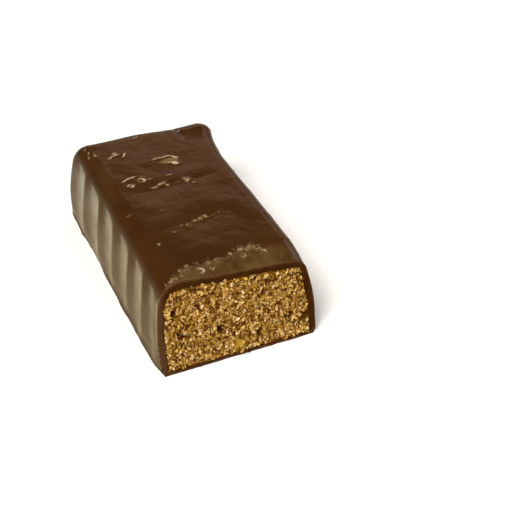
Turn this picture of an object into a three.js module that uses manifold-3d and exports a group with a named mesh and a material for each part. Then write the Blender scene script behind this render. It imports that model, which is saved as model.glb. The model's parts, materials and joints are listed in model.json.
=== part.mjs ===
// A cut half of a chocolate-coated protein bar, lying on its flat base.
// Millimetres, +Z up. X runs across the bar, Y along it, and the cut faces -Y.
// The origin is under the middle of the half, on the surface that it lies on.

import * as THREE from "three";
import { mergeVertices } from "three/addons/utils/BufferGeometryUtils.js";
import Module from "manifold-3d";

const wasm = await Module();
wasm.setup();
const { clamp, lerp, smoothstep } = THREE.MathUtils;

// Driving dimensions of the half bar
const BASE_WIDTH = 28.6;
const HEIGHT = 18.4; // at the left edge, which is the taller one
const LENGTH = 57.5;
const LEFT_EDGE_RADII = [4.4, 3.2]; // the long left top edge, at the cut and at the uncut end
const RIGHT_EDGE_RADIUS = 2.4;
const SIDE_TAPER = 1.5; // each side leans in by this much from base to top
const SIDE_BELLY = 0.6; // each side swells by this much half way up
const TOP_FALL = 1.9; // the top is lower on the right than on the left by this much

// The uncut end
const END_RADIUS = 3.2; // how far back it is rounded
const END_LEAN = 5.5; // it leans in by this much at the top
const END_BELLY = 0.7; // it swells by this much half way up
const END_CROWN = 0.8; // the middle of its top edge stands out by this much
const END_CROWN_REACH = 5.5;

// The right top corner of the uncut end, where the chocolate has pooled
const CORNER_SWELL = 0.7;
const CORNER_REACH = 5.5;
const CORNER_FLARE = 1.4; // the corner stands out to the right by this much

// The cut end
const CUT_LEAN = 0.5; // the foot of the cut lies in front of its top by this much
const CUT_LEAN_LENGTH = 9; // and the lean dies out over this length
const CUT_TUCK = 0.3; // each side turns in by this much at the cut
const CUT_TUCK_LENGTH = 3;
const DROOP_LENGTH = 3.6; // the top falls towards the cut over this length, in the middle of the bar
const DROOP_SKEW = 0.2; // the length grows by this much for each millimetre to the right
const SHORTEST_DROOP = 0.8;
const DROOP_SLOPE = 0.2;
const DROOP_ROUNDING = 1.2;

// The chocolate coat
const COAT_SIDE = 1.3;
const COAT_TOP = 1.5;
const COAT_BASE = 0.6;
const COAT_END = 1.6;
const COAT_GAP = 0.2; // clear space between the coat and the filling
const CAVITY_OPENING = 1; // the filling's cavity runs past the cut by this much, to be open there

// Ribs on the sides: blunt crests with rounded hollows between them, further apart towards the uncut end
const RIB_DEPTH = 0.55;
const RIB_DEEPEST = 0.6; // where a hollow is deepest, as a share of the way from its crest to the next
const RIB_RISE = 1.6; // how round its rise to the next crest is
const RIB_SOFTNESS = 0.2; // how blunt the crests are
const FIRST_RIB = -0.7; // from the cut, at the top
const RIB_PITCH = 7.6;
const RIB_SPREAD = 0.23; // each pitch is longer than the one before by twice this
const RIB_LAG = 1.3; // the last crests lie further from the cut by this much
const RIB_LAG_REACH = [34, 44]; // and the lag grows between these distances from the cut
const RIB_LEAN = 3.2; // the foot of a rib lies further from the cut than its head by this much
const RIB_FOOT = 0.05; // the share of a rib's depth that is left at the base
const RIB_FADE = 6; // height over which a rib reaches its full depth
const RIB_TOP_FADE = [0.1, 0.65]; // ribs fade out between faces that look up by these shares

// Shallow grooves across the top, with broad swells between them
const WAVE_DEPTH = 0.22;
const WAVE_SKEW = 0.6;
const FIRST_WAVE = 4; // from the cut, in the middle of the bar
const WAVE_PITCH = 13;
const WAVE_SLANT = 0.15; // a groove lies further from the cut by this much for each millimetre to the right
const WAVE_LEFT_FADE = [-9, -3]; // places across between which the grooves begin
const WAVE_RIGHT_FADE = [6, 11]; // and between which they end
const WAVE_END_FADE = [33, 38]; // distances from the cut between which they die out
const WAVE_EDGE_FADE = [0.6, 1]; // and they begin between faces that look up by these shares

// Crumbs that stand out of the cut filling
const CRUMB_SIZE = 1.7;
const CRUMB_RELIEF = 1.1;
const CRUMB_MARGIN = 0.8; // the crumbs flatten out this close to the coat
const SMALLEST_CRUMB = 0.45; // the lowest crumb's height as a share of the highest one's
const CRUMB_SINK = 0.6; // the share of the relief that lies behind the cut
const CRUMB_SEED = 7;

// How finely each block is divided: across, along, up
const COAT_GRID = [14, 54, 9];
const FILLING_GRID = [28, 6, 16]; // for the cavity too, so that the two keep their gap at the edges
const WELD_DISTANCE = 1e-4; // corners closer together than this are one corner

// A repeatable number from 0 to 1 for a cell of the crumb pattern.
function cellNumber(column, row, salt) {
  const wave = Math.sin(column * 127.1 + row * 311.7 + (salt + CRUMB_SEED) * 74.7);
  return wave * 43758.5453 - Math.floor(wave * 43758.5453);
}

// Height of the crumbs at a place on the cut, from 0 in the pits to 1 on the crumbs.
function crumbHeight(x, z) {
  const column = Math.floor(x / CRUMB_SIZE);
  const row = Math.floor(z / CRUMB_SIZE);
  let best = 0;
  for (let i = column - 1; i <= column + 1; i++) {
    for (let j = row - 1; j <= row + 1; j++) {
      const middleX = (i + cellNumber(i, j, 1)) * CRUMB_SIZE;
      const middleZ = (j + cellNumber(i, j, 2)) * CRUMB_SIZE;
      const away = Math.hypot(x - middleX, z - middleZ) / CRUMB_SIZE;
      const dome = lerp(SMALLEST_CRUMB, 1, cellNumber(i, j, 3)) * Math.max(0, 1 - away * away);
      best = Math.max(best, dome);
    }
  }
  return best;
}

// Which rib a place is at: whole numbers are crests.
function ribNumber(fromCut) {
  const along = Math.max(fromCut - FIRST_RIB, -RIB_PITCH);
  return (Math.sqrt(RIB_PITCH ** 2 + 4 * RIB_SPREAD * along) - RIB_PITCH) / (2 * RIB_SPREAD);
}

// The hollow on the way from one crest, 0, to the next, 1: none at the crests, and about 1 where it is deepest.
function ribHollow(share) {
  const behind = Math.max(1 - share / RIB_DEEPEST, 0);
  const before = Math.max((share - RIB_DEEPEST) / (1 - RIB_DEEPEST), 0);
  const hollow = 1 - behind ** 2 - before ** RIB_RISE;
  return Math.hypot(hollow, RIB_SOFTNESS) - RIB_SOFTNESS;
}

// The grooves across the top, from 0 on the swells between them to 1 in a groove.
function waveGroove(x, fromCut) {
  const along = (fromCut - FIRST_WAVE - WAVE_SLANT * x) / WAVE_PITCH;
  const across = smoothstep(x, ...WAVE_LEFT_FADE) * (1 - smoothstep(x, ...WAVE_RIGHT_FADE));
  const reach = across * (1 - smoothstep(fromCut, ...WAVE_END_FADE));
  return reach * (1 - Math.sin(Math.PI * (along - Math.floor(along)) ** WAVE_SKEW));
}

// How far the ribs and grooves lie below the coat's outer form, for a place and the way its face looks.
function hollowDepth(x, fromCut, z, facing) {
  const lag = RIB_LAG * smoothstep(fromCut, ...RIB_LAG_REACH);
  const rib = ribNumber(fromCut - lag - RIB_LEAN * (1 - z / HEIGHT) ** 3);
  const share = lerp(RIB_FOOT, 1, smoothstep(z, 0, RIB_FADE)) * (1 - smoothstep(facing.z, ...RIB_TOP_FADE));
  const onSide = RIB_DEPTH * share * ribHollow(rib - Math.floor(rib));
  const onTop = WAVE_DEPTH * waveGroove(x, fromCut) * smoothstep(facing.z, ...WAVE_EDGE_FADE);
  return (onSide + onTop) * (1 - Math.abs(facing.y));
}

// Moves a point of a plain block into the bar's form. The inset is the depth below the coat's outer face.
function barPoint(point, inset, ribbed) {
  const half = BASE_WIDTH / 2 - inset.side;
  const top = HEIGHT - inset.top;
  const end = LENGTH - inset.end;
  const leftEdge = lerp(...LEFT_EDGE_RADII, clamp(point.y / LENGTH, 0, 1)) - inset.side;
  const rightEdge = RIGHT_EDGE_RADIUS - inset.side;
  const edge = lerp(leftEdge, rightEdge, smoothstep(point.x, leftEdge - half, half - rightEdge));
  const endEdge = END_RADIUS - inset.end;

  // Round the long top edges and the uncut end: a square corner becomes a round one about an inner core.
  const core = new THREE.Vector3(
    clamp(point.x, leftEdge - half, half - rightEdge),
    Math.min(point.y, end - endEdge),
    Math.min(point.z, top - edge),
  );
  const radii = new THREE.Vector3(edge, endEdge, edge);
  const out = point.clone().sub(core).divide(radii);
  const reach = Math.max(Math.abs(out.x), Math.abs(out.y), Math.abs(out.z));
  const facing = out.clone().normalize();
  const placed = core.add(facing.clone().multiplyScalar(reach).multiply(radii));

  // Hollow the ribs and grooves into the outer face only, and swell its far corner.
  if (ribbed) {
    const fromCorner = Math.hypot(half - point.x, end - point.y) / CORNER_REACH;
    const swelling = CORNER_SWELL * Math.exp(-(fromCorner ** 2)) * smoothstep(point.z, 0, top);
    const depth = hollowDepth(point.x, point.y, placed.z, facing);
    placed.addScaledVector(facing, (swelling - depth) * reach);
  }

  return leaned(placed, point.y);
}

// Leans the sides and both ends of the rounded form, swells the sides and the uncut end, and tips the top.
function leaned(placed, fromCut) {
  const { x, y, z } = placed;
  const rise = z / HEIGHT;
  const belly = Math.sin(Math.PI * clamp(rise, 0, 1));
  const half = BASE_WIDTH / 2;
  const atCut = 1 - smoothstep(fromCut, 0, CUT_TUCK_LENGTH);
  const flare = CORNER_FLARE * rise * smoothstep(y, (2 * LENGTH) / 3, LENGTH) * smoothstep(x, 0, half);
  const across = x * (1 + (SIDE_BELLY * belly - SIDE_TAPER * rise) / half) + flare;
  placed.x = across * (1 - (CUT_TUCK * atCut) / half);

  const crown = END_CROWN * rise * Math.exp(-((across / END_CROWN_REACH) ** 2));
  const endMove = crown + END_BELLY * belly - END_LEAN * rise;
  const cutMove = CUT_LEAN * (1 - rise) * (1 - smoothstep(fromCut, 0, CUT_LEAN_LENGTH));
  placed.y = y + endMove * smoothstep(y, LENGTH / 2, LENGTH) - cutMove;

  const droopLength = Math.max(DROOP_LENGTH + DROOP_SKEW * across, SHORTEST_DROOP);
  const droop = DROOP_SLOPE * droopLength * clamp(1 - fromCut / droopLength, 0, 1) ** DROOP_ROUNDING;
  placed.z = z - rise * (TOP_FALL * (across / BASE_WIDTH + 0.5) + droop);
  return placed;
}

// A closed block between the given depths, divided into a grid and moved into the bar's form.
function barBlock(inset, grid, cutAt, ribbed) {
  const width = BASE_WIDTH - 2 * inset.side;
  const length = LENGTH - inset.end - cutAt;
  const height = HEIGHT - inset.top - inset.base;
  const block = new THREE.BoxGeometry(width, length, height, ...grid);
  block.translate(0, cutAt + length / 2, inset.base + height / 2);
  const place = block.getAttribute("position");
  const point = new THREE.Vector3();
  for (let i = 0; i < place.count; i++) {
    point.fromBufferAttribute(place, i);
    const moved = barPoint(point, inset, ribbed);
    place.setXYZ(i, moved.x, moved.y, moved.z);
  }
  return welded(block);
}

// The same geometry with its shared corners merged, so that it is one closed surface.
function welded(geometry) {
  geometry.deleteAttribute("normal");
  geometry.deleteAttribute("uv");
  return mergeVertices(geometry, WELD_DISTANCE);
}

function solidFrom(geometry) {
  return new wasm.Manifold(
    new wasm.Mesh({
      numProp: 3,
      vertProperties: new Float32Array(geometry.getAttribute("position").array),
      triVerts: new Uint32Array(geometry.index.array),
    }),
  );
}

function geometryFrom(solid) {
  const mesh = solid.getMesh();
  const geometry = new THREE.BufferGeometry();
  geometry.setAttribute("position", new THREE.BufferAttribute(mesh.vertProperties, mesh.numProp));
  geometry.setIndex(new THREE.BufferAttribute(mesh.triVerts, 1));
  geometry.computeVertexNormals();
  return geometry;
}

const FILLING_INSET = { side: COAT_SIDE, top: COAT_TOP, base: COAT_BASE, end: COAT_END };

// The filling's cavity in the coat: the filling grown by the gap, and open past the cut.
function cavity() {
  const grown = {};
  for (const [face, depth] of Object.entries(FILLING_INSET)) grown[face] = depth - COAT_GAP;
  return barBlock(grown, FILLING_GRID, -CAVITY_OPENING, false);
}

// The chocolate coat: the ribbed outer form with the filling's cavity taken out, open at the cut.
function coat() {
  const outer = barBlock({ side: 0, top: 0, base: 0, end: 0 }, COAT_GRID, 0, true);
  return geometryFrom(solidFrom(outer).subtract(solidFrom(cavity())));
}

// The filling: it runs through the half, with crumbs standing out of its cut face.
function filling() {
  const block = barBlock(FILLING_INSET, FILLING_GRID, 0, false);
  const place = block.getAttribute("position");
  block.computeBoundingBox();
  const { min, max } = block.boundingBox;
  for (let i = 0; i < place.count; i++) {
    const [x, y, z] = [place.getX(i), place.getY(i), place.getZ(i)];
    if (y > WELD_DISTANCE) continue;
    const toEdge = Math.min(x - min.x, max.x - x, z - min.z, max.z - z);
    const share = smoothstep(toEdge, 0, CRUMB_MARGIN);
    place.setY(i, y + share * CRUMB_RELIEF * (CRUMB_SINK - crumbHeight(x, z)));
  }
  block.computeBoundingBox();
  return block;
}

const chocolate = new THREE.MeshStandardMaterial({ color: 0x4a2a16, roughness: 0.32, metalness: 0 });
const crumb = new THREE.MeshStandardMaterial({ color: 0xa8752c, roughness: 0.9, metalness: 0 });

function named(name, geometry, material) {
  const mesh = new THREE.Mesh(geometry, material);
  mesh.name = name;
  return mesh;
}

const bar = new THREE.Group();
bar.add(named("chocolate_coat", coat(), chocolate));
bar.add(named("crumb_filling", filling(), crumb));

// Stand the half on its base, with the origin under its middle.
const box = new THREE.Box3().setFromObject(bar);
const middle = box.getCenter(new THREE.Vector3());
bar.position.set(-middle.x, -middle.y, -box.min.z);

export default bar;
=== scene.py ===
"""The looks of a cut half of a chocolate-coated protein bar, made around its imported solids.

The bar's own lengths are in millimetres: x across it, y from the cut towards the uncut end, z up.
Meshes are in metres, in the frame of the solids.
"""

import itertools
import json
from collections import namedtuple
from math import cos, pi, radians, sin

import bmesh
import bpy
import numpy as np
from mathutils import Matrix, Vector

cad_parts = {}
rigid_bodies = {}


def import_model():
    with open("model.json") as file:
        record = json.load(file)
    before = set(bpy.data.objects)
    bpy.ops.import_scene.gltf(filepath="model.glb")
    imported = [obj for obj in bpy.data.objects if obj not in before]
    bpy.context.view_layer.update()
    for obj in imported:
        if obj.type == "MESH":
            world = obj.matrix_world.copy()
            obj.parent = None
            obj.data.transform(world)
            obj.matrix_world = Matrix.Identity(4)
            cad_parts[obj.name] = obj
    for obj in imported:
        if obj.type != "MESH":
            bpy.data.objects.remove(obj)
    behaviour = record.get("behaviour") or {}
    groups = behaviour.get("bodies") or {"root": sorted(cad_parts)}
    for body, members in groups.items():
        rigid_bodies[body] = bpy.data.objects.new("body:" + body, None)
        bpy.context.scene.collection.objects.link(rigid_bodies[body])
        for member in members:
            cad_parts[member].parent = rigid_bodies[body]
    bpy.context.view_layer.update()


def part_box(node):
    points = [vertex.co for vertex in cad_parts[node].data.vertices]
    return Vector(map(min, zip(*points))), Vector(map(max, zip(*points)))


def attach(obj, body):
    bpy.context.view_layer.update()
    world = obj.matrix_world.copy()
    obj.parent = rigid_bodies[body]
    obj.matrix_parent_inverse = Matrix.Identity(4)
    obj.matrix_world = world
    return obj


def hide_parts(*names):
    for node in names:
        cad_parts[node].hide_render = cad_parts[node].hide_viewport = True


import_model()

MM = 0.001
BODY = "root"
CHOCOLATE_SLOT = "chocolate"
CRUMB_SLOT = "crumb"

# Form of the half, the same as the solids'
BASE_WIDTH = 28.6
HEIGHT = 18.4
LENGTH = 57.5
LEFT_EDGE_RADII = (4.4, 3.2)
RIGHT_EDGE_RADIUS = 2.4
END_RADIUS = 3.2
END_LEAN = 5.5
END_BELLY = 0.7
END_CROWN = 0.8
END_CROWN_REACH = 5.5
SIDE_TAPER = 1.5
SIDE_BELLY = 0.6
TOP_FALL = 1.9
CORNER_SWELL = 0.7
CORNER_REACH = 5.5
CORNER_FLARE = 1.4
DROOP_LENGTH = 3.6
DROOP_SKEW = 0.2
SHORTEST_DROOP = 0.8
DROOP_SLOPE = 0.2
DROOP_ROUNDING = 1.2
CUT_LEAN = 0.5
CUT_LEAN_LENGTH = 9
CUT_TUCK = 0.3
CUT_TUCK_LENGTH = 3

# Where the bar's own origin, the middle of the foot of the cut, lies in the frame
COAT_LOW = np.array(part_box("chocolate_coat")[0])
CUT_FOOT = COAT_LOW + np.array((BASE_WIDTH / 2, CUT_LEAN, 0)) * MM

# Ribs on the sides, and the swells and grooves across the top
RIB_DEPTH = 0.55
RIB_DEEPEST = 0.6
RIB_RISE = 1.6
RIB_SOFTNESS = 0.2
FIRST_RIB = -0.7
RIB_PITCH = 7.6
RIB_SPREAD = 0.23
RIB_LEAN = 3.2
RIB_LEAN_CURVE = 3
RIB_FOOT = 0.05
RIB_FADE = 6
RIB_TOP_FADE = (0.1, 0.65)
RIB_HEAD = 1.15
RIB_HEAD_REACH = (7, 14)
RIB_LAG = 1.3
RIB_LAG_REACH = (34, 44)
WAVE_EDGE_FADE = (0.6, 1)
RIB_WANDER = 0.3
RIB_WANDER_SIZE = 5
WAVE_DEPTH = 0.22
FIRST_WAVE = 4
WAVE_PITCH = 13
WAVE_SLANT = 0.15
WAVE_SKEW = 0.6
WAVE_LEFT_FADE = (-9, -3)
WAVE_RIGHT_FADE = (6, 11)
WAVE_END_FADE = (33, 38)

# How far inside the outer face the coat's cavity and the filling lie
Inset = namedtuple("Inset", "side top base end")
OUTSIDE = Inset(0, 0, 0, 0)
COAT = Inset(1.2, 1.35, 0.55, 1.6)
FILLING = Inset(1.05, 1.2, 0.4, 1.5)

# How finely the coat and the filling's cut are divided: across, along, up
COAT_GRID = (176, 288, 44)
FILLING_GRID = (136, 1, 86)
TINY = 1e-9
HASH_WEIGHTS = np.array((127.1, 311.7, 269.5))
HASH_SEED = 74.7
HASH_SPREAD = 43758.5453
GRAIN_STRETCH = 0.6
GRAIN_ROUNDING = 0.6


def blend(first, second, share):
    """A value between two."""
    return first + (second - first) * share


def ramp(value, low, high):
    """A smooth step from 0 at the low value to 1 at the high one."""
    share = np.clip((value - low) / (high - low), 0, 1)
    return share * share * (3 - 2 * share)


def hill(value, middle, width):
    """A round hill of height 1 at the middle."""
    return np.exp(-(((value - middle) / width) ** 2))


def cell_numbers(cells, seed):
    """A repeatable number from 0 to 1 for each cell of a grid."""
    wave = np.sin(cells @ HASH_WEIGHTS[: cells.shape[1]] + seed * HASH_SEED) * HASH_SPREAD
    return wave - np.floor(wave)


def lumps(points, size, seed):
    """Smooth noise from -1 to 1 with lumps of about the given size."""
    places = points / size
    corner = np.floor(places)
    share = places - corner
    share = share * share * (3 - 2 * share)
    total = np.zeros(len(points))
    for step in itertools.product((0, 1), repeat=points.shape[1]):
        weight = np.where(step, share, 1 - share).prod(axis=1)
        total += weight * cell_numbers(corner + step, seed)
    return 2 * total - 1


Layer = namedtuple("Layer", "height size seed")


def layered(points, layers):
    """Layers of smooth noise on top of each other."""
    return sum(layer.height * lumps(points, layer.size, layer.seed) for layer in layers)


def grains(points, size, seed, flattest):
    """Height from 0 to 1 of chips of about the given size, packed over a plane."""
    cell = np.floor(points / size)
    best = np.zeros(len(points))
    for step in itertools.product((-1, 0, 1), repeat=2):
        near = cell + step
        jitter = np.column_stack((cell_numbers(near, seed), cell_numbers(near, seed + 1)))
        away = points / size - near - jitter
        turn = pi * cell_numbers(near, seed + 2)
        stretch = blend(1, GRAIN_STRETCH, cell_numbers(near, seed + 3))
        lengthwise = (away[:, 0] * np.cos(turn) + away[:, 1] * np.sin(turn)) * stretch
        sideways = (away[:, 1] * np.cos(turn) - away[:, 0] * np.sin(turn)) / stretch
        tip = lengthwise * (cell_numbers(near, seed + 4) - 0.5)
        height = blend(flattest, 1, cell_numbers(near, seed + 5))
        round_top = np.clip(1 - lengthwise**2 - sideways**2, 0, None) ** GRAIN_ROUNDING
        best = np.maximum(best, height * round_top * (1 + tip))
    return best


# The bar's form


def rib_number(from_cut):
    """Which rib a place is at: whole numbers are crests."""
    along = np.maximum(from_cut - FIRST_RIB, -RIB_PITCH)
    return (np.sqrt(RIB_PITCH**2 + 4 * RIB_SPREAD * along) - RIB_PITCH) / (2 * RIB_SPREAD)


def rib_hollow(share):
    """The hollow from one crest, 0, to the next, 1: long and round behind a crest, and short before it."""
    behind = np.clip(1 - share / RIB_DEEPEST, 0, None)
    before = np.clip((share - RIB_DEEPEST) / (1 - RIB_DEEPEST), 0, None)
    hollow = 1 - behind**2 - before**RIB_RISE
    return np.hypot(hollow, RIB_SOFTNESS) - RIB_SOFTNESS


def wave_groove(x, from_cut):
    """The grooves across the top, from 0 on the swells between them to 1 in a groove."""
    along = (from_cut - FIRST_WAVE - WAVE_SLANT * x) / WAVE_PITCH
    across = ramp(x, *WAVE_LEFT_FADE) * (1 - ramp(x, *WAVE_RIGHT_FADE))
    reach = across * (1 - ramp(from_cut, *WAVE_END_FADE))
    return reach * (1 - np.sin(pi * (along % 1) ** WAVE_SKEW))


def hollow_depth(x, from_cut, z, facing):
    """How far the ribs and grooves lie below the coat's plain form."""
    lag = RIB_LAG * ramp(from_cut, *RIB_LAG_REACH)
    rib = rib_number(from_cut - lag - RIB_LEAN * (1 - z / HEIGHT) ** RIB_LEAN_CURVE)
    share = blend(RIB_FOOT, 1, ramp(z, 0, RIB_FADE)) * blend(1, RIB_HEAD, ramp(z, *RIB_HEAD_REACH))
    on_side = RIB_DEPTH * share * rib_hollow(rib % 1)
    on_top = WAVE_DEPTH * wave_groove(x, from_cut)
    upwards = facing[:, 2]
    depth = on_side * (1 - ramp(upwards, *RIB_TOP_FADE)) + on_top * ramp(upwards, *WAVE_EDGE_FADE)
    return depth * (1 - np.abs(facing[:, 1]))


def rounded_block(block, inset):
    """A plain block's points with its top edges and end rounded, the way they face, and their reach."""
    half = BASE_WIDTH / 2 - inset.side
    top = HEIGHT - inset.top
    end = LENGTH - inset.end
    left_edge = blend(*LEFT_EDGE_RADII, np.clip(block[:, 1] / LENGTH, 0, 1)) - inset.side
    right_edge = RIGHT_EDGE_RADIUS - inset.side
    end_edge = END_RADIUS - inset.end
    x, y, z = block.T
    edge = blend(left_edge, right_edge, ramp(x, left_edge - half, half - right_edge))
    core_x = np.clip(x, left_edge - half, half - right_edge)
    core = np.column_stack((core_x, np.minimum(y, end - end_edge), np.minimum(z, top - edge)))
    radii = np.column_stack((edge, np.full_like(edge, end_edge), edge))
    out = (block - core) / radii
    reach = np.abs(out).max(axis=1, keepdims=True)
    facing = out / np.maximum(np.linalg.norm(out, axis=1, keepdims=True), TINY)
    return core + facing * reach * radii, facing, reach


def leaned(points, from_cut):
    """The points with the sides and the end leant in, the sides swollen and the top tipped."""
    x, y, z = points.T
    rise = z / HEIGHT
    swell = SIDE_BELLY * np.sin(pi * np.clip(rise, 0, 1)) - SIDE_TAPER * rise
    x = x * (1 + swell / (BASE_WIDTH / 2))
    x = x + CORNER_FLARE * rise * ramp(y, 2 * LENGTH / 3, LENGTH) * ramp(x, 0, BASE_WIDTH / 2)
    crown = END_CROWN * rise * hill(x, 0, END_CROWN_REACH)
    belly = END_BELLY * np.sin(pi * np.clip(rise, 0, 1))
    y = y + (crown + belly - END_LEAN * rise) * ramp(y, LENGTH / 2, LENGTH)
    droop_length = np.maximum(DROOP_LENGTH + DROOP_SKEW * x, SHORTEST_DROOP)
    into_droop = np.clip(1 - from_cut / droop_length, 0, 1)
    droop = DROOP_SLOPE * droop_length * into_droop**DROOP_ROUNDING
    fall = TOP_FALL * (x / BASE_WIDTH + 0.5)
    y = y - CUT_LEAN * (1 - rise) * (1 - ramp(from_cut, 0, CUT_LEAN_LENGTH))
    x = x * (1 - CUT_TUCK * (1 - ramp(from_cut, 0, CUT_TUCK_LENGTH)) / (BASE_WIDTH / 2))
    return np.column_stack((x, y, z - rise * (fall + droop)))


def inner_surface(block, inset):
    """Points of a plain block moved to that depth below the coat's outer face."""
    placed, _, _ = rounded_block(block, inset)
    return leaned(placed, block[:, 1])


# Marks in the top: thin creases, bubbles, drops and one hollow, as places across and along
Crease = namedtuple("Crease", "knots height width bubbles pale")
TOP_CREASES = (
    Crease(((-11.5, 0.6), (-9, 1.7), (-5.5, 3.2), (0, 3.9), (2, 4.5), (7, 5)), 0.14, 0.2, 26, 0.16),
    Crease(((0.6, 3.6), (4.2, 4.2)), 0.04, 0.15, 10, 0.1),
    Crease(((1.6, 5), (5.5, 5.5)), 0.04, 0.15, 9, 0.1),
    Crease(((-3.5, 15.3), (-1.5, 15.9), (4.6, 17.7)), 0.12, 0.2, 10, 0.09),
    Crease(((-4.5, 29.5), (-2, 30.2), (4.5, 30.4)), 0.07, 0.2, 8, 0.09),
    Crease(((-8.4, 33.4), (-7, 34.2), (-5.4, 34.6), (-4, 34)), 0.2, 0.24, 0, 0.6),
    Crease(((-3.9, 33.1), (-2.4, 32.6)), 0.18, 0.2, 0, 0.6),
    Crease(((-2.4, 39.3), (-0.5, 39.5), (1, 40.1), (2.6, 40), (4.3, 38.9)), 0.24, 0.24, 0, 0.62),
    Crease(((0.6, 39.2), (2.4, 39.2), (4, 38.3)), 0.1, 0.16, 0, 0.25),
    Crease(((0.6, 38.5), (1.6, 37.9), (2.6, 37.2), (3.8, 36.7)), 0.24, 0.26, 0, 0.65),
    Crease(((-8.4, 43), (-6.5, 43.6), (-5.8, 43.9)), 0.2, 0.2, 3, 0.5),
)
Bubble = namedtuple("Bubble", "x y radius pale")
TOP_BUBBLES = (
    Bubble(-4.9, 1.7, 0.55, 0.6),
    Bubble(-2.9, 1.9, 0.34, 0.5),
    Bubble(6.8, 3.5, 0.36, 0.6),
    Bubble(-0.8, 16.3, 0.36, 0.2),
    Bubble(4, 15.7, 0.32, 0.2),
    Bubble(-4.9, 33, 0.62, 0.65),
    Bubble(-7.4, 31.8, 0.42, 0.6),
)
Drop = namedtuple("Drop", "x y length width turn pale")
TOP_DROPS = (
    Drop(-1.9, 30.6, 0.9, 0.4, 25, 0.5),
    Drop(-3.4, 29.8, 0.9, 0.22, 5, 0.4),
    Drop(-1, 29.9, 0.5, 0.25, 150, 0.45),
    Drop(3, 30.4, 0.6, 0.3, 0, 0.5),
    Drop(3.8, 29, 0.5, 0.25, 130, 0.8),
    Drop(-7, 31.5, 0.6, 0.4, 40, 0.8),
    Drop(0.4, 33.1, 0.6, 0.3, 0, 0.9),
    Drop(3, 36.9, 0.85, 0.34, 150, 0.85),
    Drop(7.9, 49.7, 0.5, 0.2, 120, 0.6),
    Drop(-6.2, 43.8, 0.6, 0.25, 0, 0.7),
    Drop(-5, 43.3, 1, 0.18, 60, 0.8),
    Drop(-10.1, 45.2, 0.7, 0.2, 105, 1),
    Drop(-10.9, 46.6, 0.9, 0.16, 75, 0.6),
    Drop(-11.2, 45.4, 0.4, 0.2, 60, 0.6),
    Drop(-11, 48.7, 0.5, 0.22, 60, 0.5),
    Drop(-0.9, 49.4, 0.8, 0.25, 35, 0.5),
    Drop(-8.8, 11.2, 0.26, 0.24, 0, 1),
    Drop(-5.2, 14, 0.35, 0.2, 20, 0.4),
    Drop(-10.5, 22.2, 0.6, 0.16, 0, 0.3),
    Drop(-4.8, 21.5, 0.45, 0.16, 150, 0.3),
)
# Patches of painted sheen on the top, where it mirrors brighter surroundings
SheenPatch = namedtuple("SheenPatch", "x y length width pale")
TOP_SHEEN_PATCHES = (
    SheenPatch(-0.5, 26, 6, 4, 0.03),
    SheenPatch(1, 44, 10, 6, 0.03),
    SheenPatch(9, 42, 6, 9, 0.03),
    SheenPatch(-11, 37, 3.5, 13, 0.075),
)
SHEEN_EDGE = (0.2, 1.1)
SHEEN_STRENGTH = 0.75
SHEEN_LAYERS = (Layer(0.25, 2.5, 25), Layer(0.2, 0.9, 26))
# Painted sheen on the strip between the cut and the first crease, which is weaker on the right
CUT_SHEEN = 0.145
CUT_SHEEN_EDGE = (-0.5, 0.3)
CUT_SHEEN_RIGHT = 0.6
CUT_SHEEN_FADE = (0, 12)
TOP_LAYERS = (Layer(0.06, 6, 21), Layer(0.03, 2.6, 22), Layer(0.01, 1, 23))
TOP_HOLLOW = (2.3, 38.6)
TOP_HOLLOW_SIZE = (2.2, 1.1)
TOP_HOLLOW_DEPTH = 0.3
TOP_HOLLOW_ROUNDING = 0.7
TOP_HOLLOW_EDGE = (0.6, 1.1)
# Painted reflection inside the hollow
TOP_HOLLOW_REFLECTION = 0.19
END_NOTCH = (7.6, 0.6)
END_NOTCH_DEPTH = 0.5
END_NOTCH_START = (45, 50)
BUBBLE_HEIGHT = 0.17
BUBBLE_WALL = 0.34
BUBBLE_DIP = 0.6
BUBBLE_SIZES = (0.2, 0.38)
BUBBLE_PALES = (0.1, 0.5)
BUBBLE_SPREAD = 0.4
# How much dimmer a bubble wall's painted highlight is on its dim side
BUBBLE_HIGHLIGHT_SIDE = 0.4
BUBBLE_BEND = 0.12
BUBBLE_BEND_SIZE = 0.5
BUBBLE_BEND_SEEDS = (27, 28)
BUBBLE_SEED = 12
DROP_HEIGHT = 0.16
DROP_BREAK = 0.45
DROP_STRENGTH = 0.7
DROP_UNEVENNESS = 0.7
CREASE_WANDER = 0.3
CREASE_BREAK = 1.3
CREASE_STRENGTH = 0.75
CREASE_UNEVENNESS = 0.6
# How far a crease fades outside and inside its ends
CREASE_FADE = (0.6, 0.8)
CRISP = (0.25, 0.75)


def crease_line(crease, across):
    """How far from the cut a crease runs, at places across."""
    return np.interp(across, *np.array(crease.knots).T)


def crease_ridge(plane, crease):
    """A crease's thin broken ridge, from 0 to 1."""
    x, y = plane.T
    first, last = crease.knots[0][0], crease.knots[-1][0]
    line = crease_line(crease, x) + CREASE_WANDER * lumps(plane, CREASE_BREAK, 11)
    outside, inside = CREASE_FADE
    ends = ramp(x, first - outside, first + inside) * (1 - ramp(x, last - inside, last + outside))
    strength = np.clip(CREASE_STRENGTH + CREASE_UNEVENNESS * lumps(plane, CREASE_BREAK, 12), 0, 1)
    return ends * strength * hill(y, line, crease.width)


def crease_bubbles():
    """The small bubbles along the creases."""
    draw = np.random.default_rng(BUBBLE_SEED)
    bubbles = []
    for crease in TOP_CREASES:
        across = draw.uniform(crease.knots[0][0], crease.knots[-1][0], crease.bubbles)
        along = crease_line(crease, across) + draw.normal(0, BUBBLE_SPREAD, crease.bubbles)
        sizes = draw.uniform(*BUBBLE_SIZES, crease.bubbles)
        bubbles.extend(map(Bubble, across, along, sizes, draw.uniform(*BUBBLE_PALES, crease.bubbles)))
    return bubbles


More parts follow.
